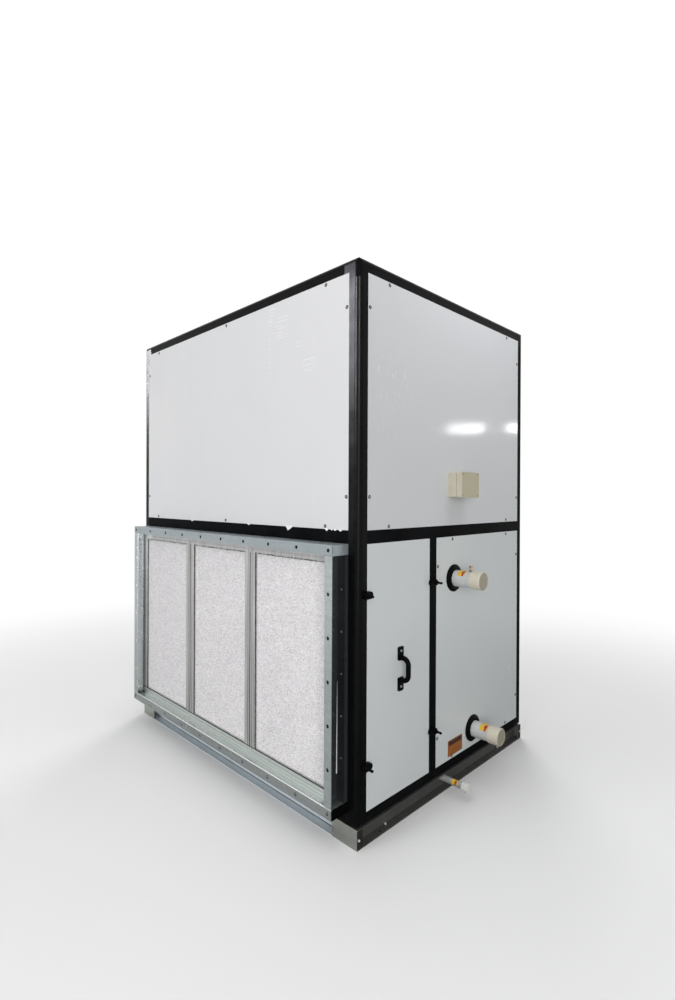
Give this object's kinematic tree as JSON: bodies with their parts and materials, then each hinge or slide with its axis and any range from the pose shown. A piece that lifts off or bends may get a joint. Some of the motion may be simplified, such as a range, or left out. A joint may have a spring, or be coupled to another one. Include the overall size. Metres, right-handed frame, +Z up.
{
  "type": "vertical air handling unit",
  "caption": "Floor-standing air handling unit: white insulated panels in a black frame on a channel base, with a flanged filter inlet, roof outlet and capped coil pipes.",
  "frame": {"origin": "on the floor under the middle of the cabinet, the centre of the base's anchor holes", "axes": "+Z up; -Y is the filter inlet side; +X is the side with the water pipes and the access panel"},
  "size_m": [1.89, 1.385, 2.265],
  "materials": {
    "galvanised_steel": "galvanised",
    "black_profile": "satin",
    "white_panel": "gloss",
    "filter_aluminium": "satin",
    "filter_pad": "matte",
    "black_plastic": "satin",
    "cream_plastic": "satin",
    "white_plastic": "satin",
    "painted_pipe": "satin",
    "brass_fitting": "satin",
    "drain_steel": "satin",
    "motor_grey": "satin"
  },
  "bodies": {
    "cabinet": {"base_side_rails": "galvanised_steel", "base_cross_rails": "galvanised_steel", "base_corner_plates": "galvanised_steel", "inlet_top_channel": "galvanised_steel", "inlet_bottom_channel": "galvanised_steel", "inlet_side_channels": "galvanised_steel", "outlet_collar": "galvanised_steel", "fan_scroll": "galvanised_steel", "fan_wheel": "galvanised_steel", "front_posts": "black_profile", "rear_posts": "black_profile", "corner_connectors": "black_profile", "top_rails": "black_profile", "middle_rails": "black_profile", "bottom_rails": "black_profile", "side_mullion": "black_profile", "inlet_side_strips": "black_profile", "front_upper_panel": "white_panel", "right_upper_panel": "white_panel", "left_upper_panel": "white_panel", "rear_upper_panel": "white_panel", "roof_panel": "white_panel", "floor_panel": "white_panel", "access_panel": "white_panel", "coil_panel": "white_panel", "left_lower_panel": "white_panel", "rear_lower_panel": "white_panel", "left_filter_frame": "filter_aluminium", "middle_filter_frame": "filter_aluminium", "right_filter_frame": "filter_aluminium", "filter_pads": "filter_pad", "access_handle": "black_plastic", "pipe_rosettes": "black_plastic", "junction_box": "cream_plastic", "junction_box_lid": "cream_plastic", "pipe_caps": "cream_plastic", "drain_cap": "white_plastic", "upper_water_pipe": "painted_pipe", "lower_water_pipe": "painted_pipe", "air_vent": "brass_fitting", "drain_pipe": "drain_steel", "fan_motor": "motor_grey"},
    "post_clamp_upper": {"post_clamp_upper": "black_plastic"},
    "post_clamp_lower": {"post_clamp_lower": "black_plastic"},
    "mullion_clamp_upper": {"mullion_clamp_upper": "black_plastic"},
    "mullion_clamp_lower": {"mullion_clamp_lower": "black_plastic"}
  },
  "joints": [
    {"name": "post_clamp_upper_turn", "type": "hinge", "parent": "cabinet", "child": "post_clamp_upper", "pos_m": [0.87, -0.616, 0.936], "axis": [1, 0, 0], "range_deg": [0, 90]},
    {"name": "post_clamp_lower_turn", "type": "hinge", "parent": "cabinet", "child": "post_clamp_lower", "pos_m": [0.87, -0.616, 0.299], "axis": [1, 0, 0], "range_deg": [0, 90]},
    {"name": "mullion_clamp_upper_turn", "type": "hinge", "parent": "cabinet", "child": "mullion_clamp_upper", "pos_m": [0.87, -0.175, 0.936], "axis": [-1, 0, 0], "range_deg": [0, 90]},
    {"name": "mullion_clamp_lower_turn", "type": "hinge", "parent": "cabinet", "child": "mullion_clamp_lower", "pos_m": [0.87, -0.175, 0.299], "axis": [-1, 0, 0], "range_deg": [0, 90]}
  ]
}
